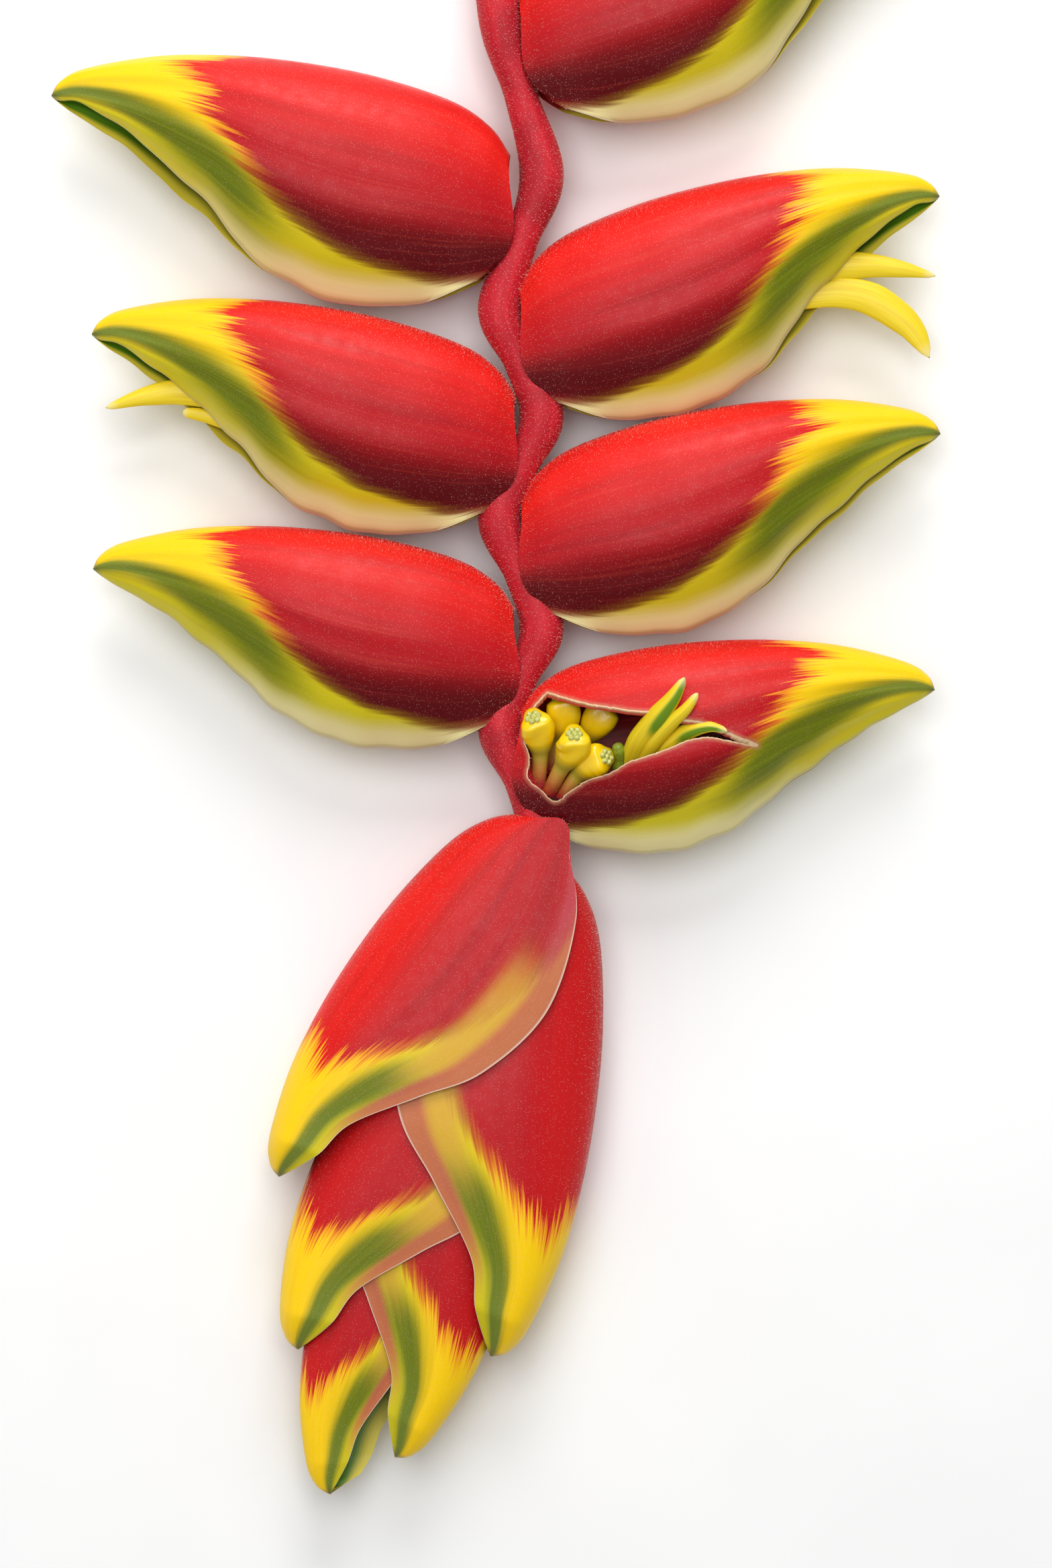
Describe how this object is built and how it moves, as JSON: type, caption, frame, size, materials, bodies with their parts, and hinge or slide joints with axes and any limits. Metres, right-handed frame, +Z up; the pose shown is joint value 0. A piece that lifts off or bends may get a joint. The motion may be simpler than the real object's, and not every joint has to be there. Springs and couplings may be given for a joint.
{
  "type": "heliconia flower",
  "caption": "Cut hanging heliconia flower head lying on its side: red folded bracts with yellow and green tips along a zigzag stem, ending in a closed bud.",
  "frame": {"origin": "the centre of the footprint, on the surface that the flower head lies on", "axes": "+Z is up from that surface; +Y runs along the stem towards its cut end, so the closed bud points to -Y; +X is to the right seen from above"},
  "size_m": [0.1806, 0.363, 0.0301],
  "materials": {
    "bract_skin": "smooth waxy bract skin, red with yellow and green towards the tip and the lips",
    "stem_skin": "velvety red stem with fine short hairs",
    "ovary_flesh": "smooth, slightly shiny yellow flesh",
    "petal": "smooth yellow petals with green keels",
    "bud_green": "smooth green bud"
  },
  "bodies": {
    "root": {"stem": "stem_skin", "bract_right_1": "bract_skin", "bract_right_2": "bract_skin", "bract_right_3": "bract_skin", "bract_right_4": "bract_skin", "bract_left_1": "bract_skin", "bract_left_2": "bract_skin", "bract_left_3": "bract_skin", "bud_bract_1": "bract_skin", "bud_bract_2": "bract_skin", "bud_bract_3": "bract_skin", "bud_bract_4": "bract_skin", "bud_bract_5": "bract_skin", "ovary_1": "ovary_flesh", "ovary_2": "ovary_flesh", "ovary_3": "ovary_flesh", "ovary_4": "ovary_flesh", "ovary_5": "ovary_flesh", "small_bud": "bud_green", "open_flower_upper": "petal", "open_flower_lower": "petal", "open_flower_sepal": "petal", "flower_right_upper": "petal", "flower_right_sepal": "petal", "flower_left_upper": "petal", "flower_left_lower": "petal"}
  },
  "joints": []
}
